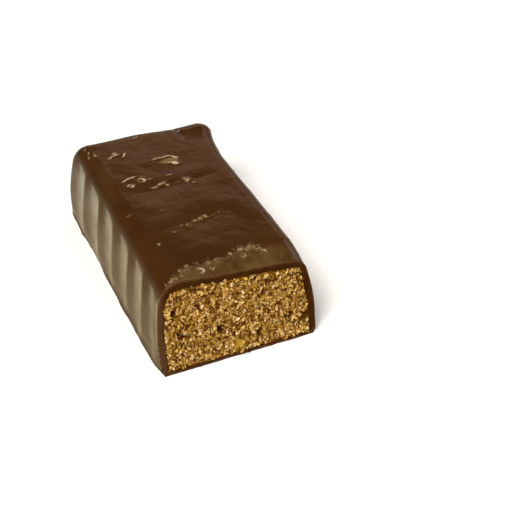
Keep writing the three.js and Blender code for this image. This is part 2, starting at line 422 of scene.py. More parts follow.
def crease_marks(plane, crease):
    """Height of a crease, and how pale it is: pale from drying, with a painted highlight along its ridge.
    """
    ridge = crease_ridge(plane, crease)
    return crease.height * ridge, crease.pale * ramp(ridge, *CRISP)


def bubble_marks(plane, bubble):
    """Height of a burst bubble's wall and of the dip inside it, and how pale the wall is: pale from drying,
    with a painted highlight brighter on one side.
    """
    across, along = (plane - (bubble.x, bubble.y)).T / bubble.radius
    away = np.hypot(across, along)
    wall = hill(away, 1, BUBBLE_WALL)
    lit = 1 - BUBBLE_HIGHLIGHT_SIDE * (1 - np.sin(np.arctan2(along, across) + bubble.x))
    return BUBBLE_HEIGHT * (wall - hill(away, 0, BUBBLE_DIP)), bubble.pale * lit * ramp(wall, *CRISP)


def drop_marks(plane, drop, broken):
    """Height of a drop, and how pale it is in patches: pale from drying, with painted glints."""
    turn = radians(drop.turn)
    across, along = (plane - (drop.x, drop.y)).T
    lengthwise = across * cos(turn) + along * sin(turn)
    sideways = along * cos(turn) - across * sin(turn)
    bump = hill(np.hypot(lengthwise / drop.length, sideways / drop.width), 0, 1)
    return DROP_HEIGHT * bump, drop.pale * broken * ramp(bump, *CRISP)


def hollow_marks(plane):
    """Height of the shallow hollow, and how pale its painted reflection makes it."""
    away = np.linalg.norm((plane - TOP_HOLLOW) / TOP_HOLLOW_SIZE, axis=1)
    depth = TOP_HOLLOW_DEPTH * np.clip(1 - away**2, 0, None) ** TOP_HOLLOW_ROUNDING
    return -depth, TOP_HOLLOW_REFLECTION * (1 - ramp(away, *TOP_HOLLOW_EDGE))


def sheen_paleness(plane):
    """How pale the painted sheen makes the top: on the strip by the cut, and on patches where it mirrors
    brighter surroundings.
    """
    x, y = plane.T
    before_crease = 1 - ramp(y - crease_line(TOP_CREASES[0], x), *CUT_SHEEN_EDGE)
    painted_sheen = CUT_SHEEN * blend(1, CUT_SHEEN_RIGHT, ramp(x, *CUT_SHEEN_FADE)) * before_crease
    for sheen_patch in TOP_SHEEN_PATCHES:
        away = np.hypot((x - sheen_patch.x) / sheen_patch.length, (y - sheen_patch.y) / sheen_patch.width)
        painted_sheen = np.maximum(painted_sheen, sheen_patch.pale * (1 - ramp(away, *SHEEN_EDGE)))
    return painted_sheen * (SHEEN_STRENGTH + layered(plane, SHEEN_LAYERS))


def top_marks(plane):
    """Height of the marks in the top at places across and along, and how pale they are: from drying, with
    painted highlights and painted sheen.
    """
    x, y = plane.T
    bends = [lumps(plane, BUBBLE_BEND_SIZE, seed) for seed in BUBBLE_BEND_SEEDS]
    bent = plane + BUBBLE_BEND * np.column_stack(bends)
    broken = np.clip(DROP_STRENGTH + DROP_UNEVENNESS * lumps(plane, DROP_BREAK, 24), 0, 1)
    marks = [crease_marks(plane, crease) for crease in TOP_CREASES]
    marks += [bubble_marks(bent, bubble) for bubble in (*TOP_BUBBLES, *crease_bubbles())]
    marks += [drop_marks(plane, drop, broken) for drop in TOP_DROPS]
    heights, pales = zip(*marks, hollow_marks(plane))
    notch = END_NOTCH_DEPTH * hill(x, *END_NOTCH) * ramp(y, *END_NOTCH_START)
    height = layered(plane, TOP_LAYERS) + sum(heights) - notch
    return height, np.maximum.reduce((*pales, sheen_paleness(plane)))


SIDE_LAYERS = (Layer(0.05, 5, 41), Layer(0.015, 2.2, 42), Layer(0.004, 0.9, 43))
# How much a face looks up where the sides' marks give way to the top's
TOP_FACING = (0.55, 0.95)
# Painted sheen on the ribs' crests, lighter than their hollows, and where it fades out towards the top
CREST_SHEEN = 0.08
CREST_SHEEN_FADE = (0.3, 0.8)
FOOT_HEIGHT = 2.6
# How far the foot spreads, at places from the cut
FOOT_SPREAD = (
    (0, 0), (3, 0.15), (7, 0.4), (25, 0.45), (29, 0.3),
    (33, 0.1), (37, -0.15), (42, -0.15), (48, 0.2), (53, 0.1),
)
FOOT_FLARE = 0.1
FOOT_FLARE_SIZE = 1.8
FOOT_LIFT = 0.15
FOOT_LIFT_SIZE = 4
TUCK_HEIGHT = 1.2
TUCK_DEPTHS = (0.5, 0.25)
TUCK_CHANGE = (26, 34)


def coat_surface(block):
    """The coat's outer face with its marks, and how pale it is: marks pale from drying with painted
    highlights, and painted sheen on the top and on the ribs' crests.
    """
    placed, facing, reach = rounded_block(block, OUTSIDE)
    x, y, z = block.T
    half = BASE_WIDTH / 2
    from_corner = np.hypot(half - x, LENGTH - y) / CORNER_REACH
    swelling = CORNER_SWELL * np.exp(-(from_corner**2)) * ramp(z, 0, HEIGHT)
    wander = RIB_WANDER * lumps(np.column_stack((y, placed[:, 2])), RIB_WANDER_SIZE, 31)
    depth = hollow_depth(x, y + wander, placed[:, 2], facing)
    placed = placed + facing * (swelling - depth)[:, None] * reach
    placed = leaned(placed, y)
    upwards = ramp(facing[:, 2], *TOP_FACING)
    around = np.column_stack((placed[:, 0] + placed[:, 1], placed[:, 2]))
    near_foot = 1 - ramp(placed[:, 2], 0, FOOT_HEIGHT)
    flare = FOOT_FLARE * lumps(around[:, :1], FOOT_FLARE_SIZE, 44)
    spread = np.interp(y, *np.array(FOOT_SPREAD).T) + flare
    tuck = blend(*TUCK_DEPTHS, ramp(y, *TUCK_CHANGE))
    foot = near_foot * spread - tuck * (1 - ramp(placed[:, 2], 0, TUCK_HEIGHT))
    on_top, pale = top_marks(placed[:, :2])
    marks = blend(layered(around, SIDE_LAYERS) + foot, on_top, upwards)
    placed = placed + facing * marks[:, None] * reach
    lift = FOOT_LIFT * np.clip(lumps(around[:, :1], FOOT_LIFT_SIZE, 45), 0, None)
    placed[:, 2] = np.maximum(placed[:, 2], 0) + lift * near_foot * reach[:, 0]
    crest = np.clip(1 - depth / RIB_DEPTH, 0, None)
    crest_sheen = CREST_SHEEN * crest * (1 - ramp(facing[:, 2], *CREST_SHEEN_FADE))
    return placed, blend(crest_sheen, pale, upwards)


# Meshes


def block_side(low, high, counts, axis, at_high):
    """A grid of points over one side of a block, and its faces, which point outwards."""
    first, second = (axis + 1) % 3, (axis + 2) % 3
    steps = [np.linspace(low[way], high[way], counts[way] + 1) for way in (first, second)]
    places = np.stack(np.meshgrid(*steps, indexing="ij"), axis=-1).reshape(-1, 2)
    points = np.empty((len(places), 3))
    points[:, axis] = high[axis] if at_high else low[axis]
    points[:, first], points[:, second] = places.T
    row = counts[second] + 1
    corner = (np.arange(counts[first])[:, None] * row + np.arange(counts[second])).ravel()
    faces = np.column_stack((corner, corner + row, corner + row + 1, corner + 1))
    return points, faces if at_high else faces[:, ::-1]


def rectangle_loop(low, high, counts):
    """Places round a rectangle in order, from its first corner along its first direction."""
    across = np.linspace(low[0], high[0], counts[0] + 1)
    up = np.linspace(low[1], high[1], counts[1] + 1)
    runs = (
        np.column_stack((across[:-1], np.full(counts[0], low[1]))),
        np.column_stack((np.full(counts[1], high[0]), up[:-1])),
        np.column_stack((across[:0:-1], np.full(counts[0], high[1]))),
        np.column_stack((np.full(counts[1], low[0]), up[:0:-1])),
    )
    return np.concatenate(runs)


def front_loop(inset, counts, from_cut):
    """Places round a plain block at a distance from the cut."""
    low = (inset.side - BASE_WIDTH / 2, inset.base)
    high = (BASE_WIDTH / 2 - inset.side, HEIGHT - inset.top)
    loop = rectangle_loop(low, high, (counts[0], counts[2]))
    return np.column_stack((loop[:, 0], np.full(len(loop), from_cut), loop[:, 1]))


def banded(loops):
    """Points and faces of the bands from each closed loop to the next, and a cap on the last."""
    count = len(loops[0])
    start = np.arange(count)
    following = np.roll(start, -1)
    band = np.column_stack((start, following, following + count, start + count))
    faces = np.concatenate([band + number * count for number in range(len(loops) - 1)]).tolist()
    cap = (start + (len(loops) - 1) * count).tolist()
    return np.concatenate(loops), faces + [cap]


# What each point holds for its finish: on the coat, marks pale from drying, painted highlights and painted
# sheen; on the cut rim, painted highlight and painted light; on the filling, relief height for painted
# shade
MARK_AND_LIGHT = "mark"
SHADE = "shade"
RIM_FINISH = 1
WELD_DISTANCE = 0.01
COAT_SHARP_ANGLE = 50
CRUMB_SHARP_ANGLE = 60
Part = namedtuple("Part", "points faces mark finish", defaults=(None, 0))


def bar_mesh(name, parts, sharp_angle):
    """One closed smooth mesh from parts that share their borders, with their marks and finish numbers."""
    points = []
    faces = []
    marks = []
    finishes = []
    for part in parts:
        start = len(points)
        points.extend((CUT_FOOT + part.points * MM).tolist())
        faces.extend([corner + start for corner in face] for face in part.faces)
        marks.extend(np.zeros(len(part.points)) if part.mark is None else part.mark)
        finishes.extend([part.finish] * len(part.faces))
    mesh = bpy.data.meshes.new(name)
    mesh.from_pydata(points, [], faces)
    mesh.attributes.new(MARK_AND_LIGHT, "FLOAT", "POINT").data.foreach_set("value", marks)
    mesh.polygons.foreach_set("material_index", finishes)
    shape = bmesh.new()
    shape.from_mesh(mesh)
    bmesh.ops.remove_doubles(shape, verts=shape.verts, dist=WELD_DISTANCE * MM)
    shape.to_mesh(mesh)
    shape.free()
    mesh.shade_smooth()
    mesh.set_sharp_from_angle(angle=radians(sharp_angle))
    return mesh


EDGE_BREAK = 0.16
EDGE_ROUNDING = 8
RIM_SHARES = (0, 0.1, 0.28, 0.5, 0.75, 1)
RIM_ROUGHNESS = 0.09
RIM_ROUGHNESS_SIZE = 0.8
RIM_ROUGHNESS_START = (0, 0.4)
# A painted highlight along the rim's outer edge, painted light on its left, and a paler base
RIM_LINE = (0.1, 0.1)
RIM_LINE_PALE = 0.5
RIM_LEFT = (-13, -11.5)
RIM_BASE = (0.6, 1.8)
RIM_PALE = 0.45
RIM_WANDER = 0.22
RIM_WANDER_LAYERS = (Layer(1, 1.1, 51), Layer(0.6, 0.5, 52))
CAVITY_PLACES = (0.8, 3, 20, 40, 50)
BASE_BORDER = 0.9


def rim_pale(loop, share):
    """How much paler the cut rim is, from 0 to 1: a painted highlight along its outer edge, painted light
    on its left, and paler at its base.
    """
    left = 1 - ramp(loop[:, 0], *RIM_LEFT)
    base = 1 - ramp(loop[:, 2], *RIM_BASE)
    return np.maximum(RIM_LINE_PALE * hill(share, *RIM_LINE), RIM_PALE * np.maximum(left, base))


def coat_outside(low, high):
    """The coat's sides, uncut end and top."""
    parts = []
    for axis, at_high in ((0, False), (0, True), (1, True), (2, True)):
        block, faces = block_side(low, high, COAT_GRID, axis, at_high)
        points, pale = coat_surface(block)
        parts.append(Part(points, faces.tolist(), pale))
    return parts


def coat_rim():
    """The cut rim, from the outer face in to a crumbly inner line, and on into the filling's cavity."""
    outer, _ = coat_surface(front_loop(OUTSIDE, COAT_GRID, EDGE_BREAK))
    inner = inner_surface(front_loop(COAT, COAT_GRID, 0), COAT)
    inwards = np.array((0, 0, HEIGHT / 2)) - inner
    inwards /= np.linalg.norm(inwards, axis=1, keepdims=True)
    wander = RIM_WANDER * layered(inner[:, [0, 2]], RIM_WANDER_LAYERS)
    inner = inner + inwards * wander[:, None]
    loops = []
    pales = []
    for share in RIM_SHARES:
        loop = blend(outer, inner, share)
        loop[:, 1] += EDGE_BREAK * ((1 - share) ** EDGE_ROUNDING - (1 - share))
        rough = RIM_ROUGHNESS * lumps(loop[:, [0, 2]], RIM_ROUGHNESS_SIZE, 53)
        loop[:, 1] += rough * ramp(share, *RIM_ROUGHNESS_START)
        loops.append(loop)
        pales.append(rim_pale(loop, share))
    for from_cut in CAVITY_PLACES:
        loop = inner_surface(front_loop(COAT, COAT_GRID, from_cut), COAT)
        loops.append(loop)
        pales.append(np.zeros(len(loop)))
    return Part(*banded(loops), np.concatenate(pales), RIM_FINISH)


def coat_base(low, high):
    """The base: a border that follows the foot, and a flat middle."""
    border = rectangle_loop(low[:2], high[:2], COAT_GRID[:2])
    outline, _ = coat_surface(np.column_stack((border, np.zeros(len(border)))))
    middle = np.column_stack((outline[:, 0], np.clip(outline[:, 1], 0, None)))
    shrink = 1 - BASE_BORDER / np.array((BASE_WIDTH / 2, LENGTH / 2))
    centre = np.array((0, LENGTH / 2))
    inside = np.column_stack((centre + (middle - centre) * shrink, np.zeros(len(border))))
    return Part(*banded([outline[::-1], inside[::-1]]))


def coat_mesh():
    """The chocolate coat: its outer face, the cut rim, the filling's cavity and the base."""
    low = (-BASE_WIDTH / 2, EDGE_BREAK, 0)
    high = (BASE_WIDTH / 2, LENGTH, HEIGHT)
    parts = [*coat_outside(low, high), coat_rim(), coat_base(low, high)]
    return bar_mesh("chocolate_coat_shell", parts, COAT_SHARP_ANGLE)


# Pits in the cut: across, up, radius
CUT_PITS = (
    (-3.3, 6.5, 0.8),
    (-6.7, 11.9, 0.5),
    (-10.8, 12, 0.6),
    (4.9, 11.3, 0.45),
    (3.8, 6.8, 0.4),
    (3.8, 4, 0.5),
    (12, 4.2, 0.8),
    (-9.5, 7, 0.55),
    (9, 5.3, 0.5),
    (-9.4, 9, 0.4),
)
PIT_DEPTH = 0.9
# A lump in the cut: across, up, radius
CUT_LUMP = (-0.2, 2.5, 1.8)
LUMP_HEIGHT = 0.35
LUMP_TONE = (0.42, 0.25, 0.02, 1)
LUMP_TINT = 0.55
# The painted shade between crumbs, and the depths behind the cut where it is full and where it ends
GAP_SHADE_TONE = (0.06, 0.015, 0.0008, 1)
GAP_SHADE_DEPTHS = (0.5, -0.1)
CRUMB_IOR = 1.05
FILLING_PLACES = (0.9, 3, 20, 40, 49)
FILLING_BORDER = 0.7
BORDER_SINK = 0.35
# The crumbs' relief: how high, large and flat each kind is
CrumbLayer = namedtuple("CrumbLayer", "height size seed flattest")
CRUMB_LAYERS = (
    CrumbLayer(0.45, 1.6, 61, 0.3),
    CrumbLayer(0.5, 0.95, 71, 0.2),
    CrumbLayer(0.3, 0.5, 81, 0.2),
)
CRUMB_SINK = 0.75
# Relief heights that the filling's finish turns into painted shade, deepest at the lowest
RELIEF_RANGE = (-0.7, 0.35)
CRUMB_MARGIN = 0.35
CRUMB_FOOT = 1.05
CLEAR_OF_PITS = 0.5


def pit_share(plane):
    """How deep a place across and up lies in a pit, from 0 to 1."""
    shares = [hill(np.hypot(plane[:, 0] - x, plane[:, 1] - z), 0, radius) for x, z, radius in CUT_PITS]
    return np.maximum.reduce(shares)


def crumb_relief(plane, to_border):
    """How far the crumbs of the cut stand out, at places across and up."""
    layers = [layer.height * grains(plane, *layer[1:]) for layer in CRUMB_LAYERS]
    height = sum(layers) - CRUMB_SINK
    across, up, radius = CUT_LUMP
    height += LUMP_HEIGHT * hill(np.hypot(plane[:, 0] - across, plane[:, 1] - up), 0, radius)
    height -= PIT_DEPTH * pit_share(plane)
    inside = ramp(to_border, 0, FILLING_BORDER)
    return blend(-BORDER_SINK, height, inside)


def filling_front():
    """The fine grid over the filling's cut, marked with its height for painted shade, and its points' ways
    to the border.
    """
    low = (FILLING.side - BASE_WIDTH / 2, 0, FILLING.base)
    high = (BASE_WIDTH / 2 - FILLING.side, LENGTH, HEIGHT - FILLING.top)
    block, faces = block_side(low, high, FILLING_GRID, 1, False)
    points = inner_surface(block, FILLING)
    sides = (block[:, 0] - low[0], high[0] - block[:, 0], block[:, 2] - low[2], high[2] - block[:, 2])
    to_border = np.minimum.reduce(sides)
    relief = crumb_relief(points[:, [0, 2]], to_border)
    points[:, 1] -= relief
    return Part(points, faces.tolist(), ramp(relief, *RELIEF_RANGE)), to_border


def crumb_ground():
    """The part of the filling's cut that crumbs lie on, away from its border and its pits."""
    front, to_border = filling_front()
    plane = front.points[:, [0, 2]]
    off_base = plane[:, 1] > CRUMB_FOOT
    clear = off_base & (to_border >= CRUMB_MARGIN) & (pit_share(plane) < CLEAR_OF_PITS)
    return front._replace(faces=[face for face in front.faces if clear[face].all()])


def filling_mesh():
    """The filling: its crumbly cut, and plain sides and a plain end where the coat hides it."""
    loops = []
    for from_cut in (0, *FILLING_PLACES):
        block = front_loop(FILLING, FILLING_GRID, from_cut)
        loops.append(inner_surface(block, FILLING)[::-1])
    loops[0][:, 1] += BORDER_SINK
    front, _ = filling_front()
    return bar_mesh("crumb_filling_block", [front, Part(*banded(loops))], CRUMB_SHARP_ANGLE)


# Node trees


class Socket:
    """A node's output. Arithmetic on a number socket adds Math nodes."""

    def __init__(self, nodes, output):
        self.nodes = nodes
        self.output = output

    def worked(self, operation, *values):
        """One Math node."""
        settings = {"operation": operation}
        return self.nodes.add("ShaderNodeMath", settings, dict(enumerate(values)))

    def __abs__(self):
        return self.worked("ABSOLUTE", self)

    def __add__(self, other):
        return self.worked("ADD", self, other)

    def __sub__(self, other):
        return self.worked("SUBTRACT", self, other)

    def __rsub__(self, other):
        return self.worked("SUBTRACT", other, self)

    def __mul__(self, other):
        return self.worked("MULTIPLY", self, other)

    __radd__ = __add__
    __rmul__ = __mul__


class Nodes:
    """A node tree that is built one node at a time."""

    def __init__(self, tree):
        self.tree = tree
        self.tree.nodes.clear()

    def add(self, kind, settings=None, sockets=None, output=0):
        """Adds a node, makes its settings, and sets or links its sockets. Gives one of its outputs."""
        node = self.tree.nodes.new(kind)
        for name, value in (settings or {}).items():
            if name == "stops":
                self.set_stops(node.color_ramp, value)
            else:
                setattr(node, name, value)
        for key, value in (sockets or {}).items():
            if isinstance(value, Socket):
                self.tree.links.new(value.output, node.inputs[key])
            else:
                node.inputs[key].default_value = value
        return Socket(self, node.outputs[output]) if node.outputs else None

    def mixed(self, share, first, second):
        """A colour between two."""
        return self.add("ShaderNodeMix", {"data_type": "RGBA"}, {0: share, 6: first, 7: second}, 2)

    def set_stops(self, colour_ramp, stops):
        """Gives a colour ramp its stops, each a place and a colour."""
        while len(colour_ramp.elements) < len(stops):
            colour_ramp.elements.new(1)
        for element, (place, colour) in zip(colour_ramp.elements, stops):
            element.position = place
            element.color = colour


class Finish(Nodes):
    """A material that is built one node at a time, on the piece's own coordinates."""

    def __init__(self, name):
        self.material = bpy.data.materials.new(name)
        self.material.use_nodes = True
        super().__init__(self.material.node_tree)
        self.place = self.add("ShaderNodeTexCoord", output=3)

    def noise(self, size, detail=3, roughness=0.55, distortion=0):
        """Noise from 0 to 1 with features of about the given size in millimetres."""
        sockets = {
            "Vector": self.place,
            "Scale": 1 / (size * MM),
            "Detail": detail,
            "Roughness": roughness,
            "Distortion": distortion,
        }
        return self.add("ShaderNodeTexNoise", None, sockets)

    def cells(self, size, feature="F1", output=0):
        """Cells of about the given size in millimetres: the distance, or with output 1 a colour each."""
        sockets = {"Vector": self.place, "Scale": 1 / (size * MM)}
        return self.add("ShaderNodeTexVoronoi", {"feature": feature}, sockets, output)

    def stepped(self, value, low, high):
        """A smooth step of a number from 0 at the low value to 1 at the high one."""
        sockets = {"Value": value, "From Min": low, "From Max": high}
        return self.add("ShaderNodeMapRange", {"interpolation_type": "SMOOTHSTEP"}, sockets)

    def between(self, value, limits):
        """A smooth step of a length between two limits in millimetres."""
        return self.stepped(value, *(limit * MM for limit in limits))

    def coordinate(self, axis):
        """Where a point lies: 0 gives across, 1 along and 2 up."""
        return self.add("ShaderNodeSeparateXYZ", None, {0: self.place}, axis)

    def away(self, middle):
        """How far from a place a point is."""
        return self.add("ShaderNodeVectorMath", {"operation": "DISTANCE"}, {0: self.place, 1: middle}, 1)

    def bump(self, height, distance):
        """A normal from a height from 0 to 1, which stands for that many millimetres."""
        sockets = {"Height": height, "Distance": distance * MM, "Strength": 1.0}
        return self.add("ShaderNodeBump", None, sockets)

    def own(self, attribute):
        """A number that the piece itself holds."""
        return self.add("ShaderNodeAttribute", {"attribute_name": attribute}, None, 2)

    def shaded_in_gaps(self, colour):
        """A crumb's colour with painted shade, darker the further it lies behind the cut."""
        subtract = {"operation": "SUBTRACT"}
        from_foot = self.add("ShaderNodeVectorMath", subtract, {0: self.place, 1: CUT_FOOT})
        across_cut = (0, 1, -CUT_LEAN / HEIGHT)
        sockets = {0: from_foot, 1: across_cut}
        depth = self.add("ShaderNodeVectorMath", {"operation": "DOT_PRODUCT"}, sockets, 1)
        limits = [limit - CUT_LEAN for limit in GAP_SHADE_DEPTHS]
        return self.mixed(self.between(depth, limits), GAP_SHADE_TONE, colour)

    def yellowed(self, colour):
        """A crumb's colour, yellower at the lump in the cut."""
        across, up, radius = CUT_LUMP
        middle = CUT_FOOT + np.array((across, 0, up)) * MM
        share = 1 - self.between(self.away(middle), (radius / 2, radius))
        return self.mixed(LUMP_TINT * share, colour, LUMP_TONE)

    def surfaced(self, **sockets):
        """Ends the material in one surface shader, whose sockets are named with underscores."""
        named = {name.replace("_", " "): value for name, value in sockets.items()}
        shader = self.add("ShaderNodeBsdfPrincipled", None, named)
        self.add("ShaderNodeOutputMaterial", None, {"Surface": shader})
        return self.material


# How rough the chocolate is, and how much rougher in a smudge and at its foot
SATIN_ROUGHNESS = 0.13
SMUDGE_ROUGHNESS = 0.07
FOOT_ROUGHNESS = 0.45
CHOCOLATE_IOR = 1.2
# Heights between which it goes from matte at the foot to satin, and how far a smudge shifts them
MATTE_FOOT = (2, 3.2)
MATTE_FOOT_SHIFT = 2
# Heights between which the ribs' heads become glossier, and between which that ends
GLOSSY_HEADS = (8, 14)
GLOSSY_ENDS = (14.4, 16.6)
GLOSSY_WEIGHT = 0.5
# How far the painted sheen goes towards its tone
PAINTED_SHEEN_WEIGHT = 0.6


def chocolate_finish():
    """Satin dark chocolate, cloudy in tone and gloss: marks pale from drying with painted highlights, and
    painted sheen.
    """
    finish = Finish("satin dark chocolate")
    drift = finish.noise(9, detail=2)
    smudge = finish.noise(3.5, detail=4, roughness=0.6, distortion=0.6)
    grain = finish.noise(0.35, detail=2)
    upwards = finish.coordinate(2)
    foot = 1 - finish.between(upwards + MATTE_FOOT_SHIFT * MM * smudge, MATTE_FOOT)
    heads = finish.between(upwards, GLOSSY_HEADS) * (1 - finish.between(upwards, GLOSSY_ENDS))
    deep = (0.038, 0.0128, 0.0023, 1)
    milky = (0.046, 0.0165, 0.0033, 1)
    # Painted sheen on lighter patches of the top and on the ribs' crests
    painted_sheen = (0.25, 0.16, 0.06, 1)
    # Marks pale from drying, with painted highlights
    dried_and_glint = (0.39, 0.3, 0.22, 1)
    colour = finish.mixed(finish.stepped(drift, 0.3, 0.7), deep, milky)
    # Paleness of the marks, painted highlights and painted sheen, broken up by smudges
    pale_and_lit = finish.own(MARK_AND_LIGHT) * finish.stepped(smudge, 0.1, 0.4)
    colour = finish.mixed(PAINTED_SHEEN_WEIGHT * finish.stepped(pale_and_lit, 0, 0.3), colour, painted_sheen)
    colour = finish.mixed(finish.stepped(pale_and_lit, 0.12, 0.7), colour, dried_and_glint)
    smudged = finish.stepped(smudge, 0.35, 0.75)
    height = 0.92 * smudge + 0.08 * grain
    return finish.surfaced(
        Base_Color=colour,
        Roughness=SATIN_ROUGHNESS + SMUDGE_ROUGHNESS * smudged + FOOT_ROUGHNESS * foot,
        IOR=CHOCOLATE_IOR,
        Coat_Weight=GLOSSY_WEIGHT * heads,
        Coat_Roughness=SATIN_ROUGHNESS,
        Coat_IOR=CHOCOLATE_IOR,
        Normal=finish.bump(height, 0.04),
    )


def cut_chocolate_finish():
    """Chocolate where it is cut: matte, reddish and a little crumbly; paler at its base, with painted light
    on its edge and left.
    """
    finish = Finish("cut chocolate")
    drift = finish.noise(1.6, detail=3)
    grain = finish.noise(0.3, detail=3)
    deep = (0.03, 0.0092, 0.0014, 1)
    reddish = (0.043, 0.014, 0.0022, 1)
    # Paler at the base, with a painted highlight along the edge and painted light on the left
    paler_and_lit = (0.1, 0.05, 0.022, 1)
    colour = finish.mixed(finish.stepped(drift, 0.3, 0.7), deep, reddish)
    return finish.surfaced(
        Base_Color=finish.mixed(finish.own(MARK_AND_LIGHT), colour, paler_and_lit),
        Roughness=0.55 + 0.2 * grain,
        IOR=1.07,
        Normal=finish.bump(0.5 * drift + 0.5 * grain, 0.09),
    )


def crumb_finish(name, dark, middle, light):
    """Matte pressed crumb with painted shade in its gaps and pits, where its relief is low, mottled from
    grain to grain and within each.
    """
    finish = Finish(name)
    grain = finish.add("ShaderNodeSeparateColor", None, {0: finish.cells(0.55, output=1)})
    flake = finish.noise(0.3, detail=3, roughness=0.65)
    shade = 0.4 * finish.own(MARK_AND_LIGHT) + 0.3 * grain + 0.3 * flake
    stops = ((0.2, dark), (0.45, middle), (0.75, light))
    colour = finish.add("ShaderNodeValToRGB", {"stops": stops}, {"Fac": shade})
    height = 0.5 * flake + 0.5 * finish.cells(0.4)
    return finish.surfaced(
        Base_Color=finish.yellowed(colour),
        Roughness=0.8 + 0.15 * flake,
        IOR=CRUMB_IOR,
        Normal=finish.bump(height, 0.1),
    )


def grain_finish(name, dark, light):
    """One kind of loose crumb, which goes from dark to light with the crumb's own shade, with painted shade
    deeper behind the cut.
    """
    finish = Finish(name)
    flake = finish.noise(0.3, detail=3, roughness=0.65)
    colour = finish.mixed(0.8 * finish.own(SHADE) + 0.4 * flake - 0.1, dark, light)
    return finish.surfaced(
        Base_Color=finish.shaded_in_gaps(finish.yellowed(colour)),
        Roughness=0.8 + 0.15 * flake,
        IOR=CRUMB_IOR,
        Normal=finish.bump(flake, 0.08),
    )


PALE_TONES = ((0.91, 0.91, 0.905, 1), (0.92, 0.92, 0.915, 1))
# Tan tones in which gloss mirrors the tabletop: in front, behind and far away, and where they meet
FRONT_TONE = (1, 0.895, 0.575, 1)
BACK_TONE = (0.865, 0.805, 0.615, 1)
BACK_REACH = (5, 45)
FAR_TONE = (0.45, 0.41, 0.335, 1)
MIRRORED_PLACE = (0, -30, 0)
MIRRORED_FADE = (80, 500)
# How much dimmer the tabletop is mirrored beside the bar and further aside, and how far across
BESIDE_SHADE = 0.23
BESIDE_REACH = (16, 28)
ASIDE_SHADE = 0.5
ASIDE_REACH = (23, 35)
BLACK = (0, 0, 0, 1)
WHITE = (1, 1, 1, 1)


def floor_finish():
    """A plain pale tabletop, tan where gloss mirrors it, which glows far away like a lit studio sweep."""
    finish = Finish("pale tabletop")
    cloud = finish.noise(60, detail=2)
    pale = finish.mixed(cloud, *PALE_TONES)
    faded = finish.between(finish.away(Vector(MIRRORED_PLACE) * MM), MIRRORED_FADE)
    across = abs(finish.coordinate(0))
    beside = 1 - finish.between(across, BESIDE_REACH)
    shade = BESIDE_SHADE * beside + ASIDE_SHADE * finish.between(across, ASIDE_REACH)
    behind = finish.between(finish.coordinate(1), BACK_REACH)
    nearby = finish.mixed(shade, finish.mixed(behind, FRONT_TONE, BACK_TONE), BLACK)
    mirrored = finish.mixed(faded, nearby, FAR_TONE)
    in_gloss = finish.add("ShaderNodeLightPath", output="Is Glossy Ray")
    seen = finish.add("ShaderNodeLightPath", output="Is Camera Ray")
    finish.material.cycles.emission_sampling = "NONE"
    return finish.surfaced(
        Base_Color=finish.mixed(in_gloss, pale, mirrored),
        Roughness=0.6 + 0.1 * cloud,
        IOR=1.4,
        Emission_Color=finish.mixed(seen * faded, BLACK, WHITE),
        Emission_Strength=1.0,
    )


# Loose crumbs on the cut

CHIP_SHAPES = 8
CHIP_LUMPS = 2
CHIP_CORNERS = 11
CHIP_LENGTH = 0.4
CHIP_WIDTHS = (0.25, 0.38)
CHIP_HEIGHTS = (0.16, 0.3)
CHIP_OFFSET = 0.2
CHIP_SEED = 5
CRUMB_TREE_INPUTS = (
    ("Geometry", "NodeSocketGeometry"),
    ("Chips", "NodeSocketCollection"),
    ("Spacing", "NodeSocketFloat"),
    ("Most Per Area", "NodeSocketFloat"),
    ("Share", "NodeSocketFloat"),
    ("Furthest In", "NodeSocketVector"),
    ("Furthest Out", "NodeSocketVector"),
    ("Smallest", "NodeSocketFloat"),
    ("Largest", "NodeSocketFloat"),
    ("Seed", "NodeSocketInt"),
    ("Finish", "NodeSocketMaterial"),
)


def chip_shapes():
    """A few small angular chips, about one millimetre long, to scatter."""
    draw = np.random.default_rng(CHIP_SEED)
    chips = bpy.data.collections.new("crumb_chips")
    for number in range(CHIP_SHAPES):
        shape = bmesh.new()
        for _ in range(CHIP_LUMPS):
            corners = draw.normal(size=(CHIP_CORNERS, 3))
            corners /= np.linalg.norm(corners, axis=1, keepdims=True)
            size = np.array((CHIP_LENGTH, draw.uniform(*CHIP_WIDTHS), draw.uniform(*CHIP_HEIGHTS)))
            middle = draw.uniform(-CHIP_OFFSET, CHIP_OFFSET, 3)
            lump = [shape.verts.new((middle + corner) * MM) for corner in corners * size]
            bmesh.ops.convex_hull(shape, input=lump)
        mesh = bpy.data.meshes.new(f"crumb_chip_{number}")
        shape.to_mesh(mesh)
        shape.free()
        chips.objects.link(bpy.data.objects.new(mesh.name, mesh))
    return chips


# Which output gives a random value of each kind. Its limits are inputs in the same order.
RANDOM_OUTPUTS = {"FLOAT_VECTOR": 0, "FLOAT": 1, "INT": 2}
FULL_TURN = 2 * pi


def drawn(nodes, kind, low, high, seed):
    """A random value for each point, between two."""
    output = RANDOM_OUTPUTS[kind]
    sockets = {2 * output: low, 2 * output + 1: high, "Seed": seed}
    return nodes.add("FunctionNodeRandomValue", {"data_type": kind}, sockets, output)


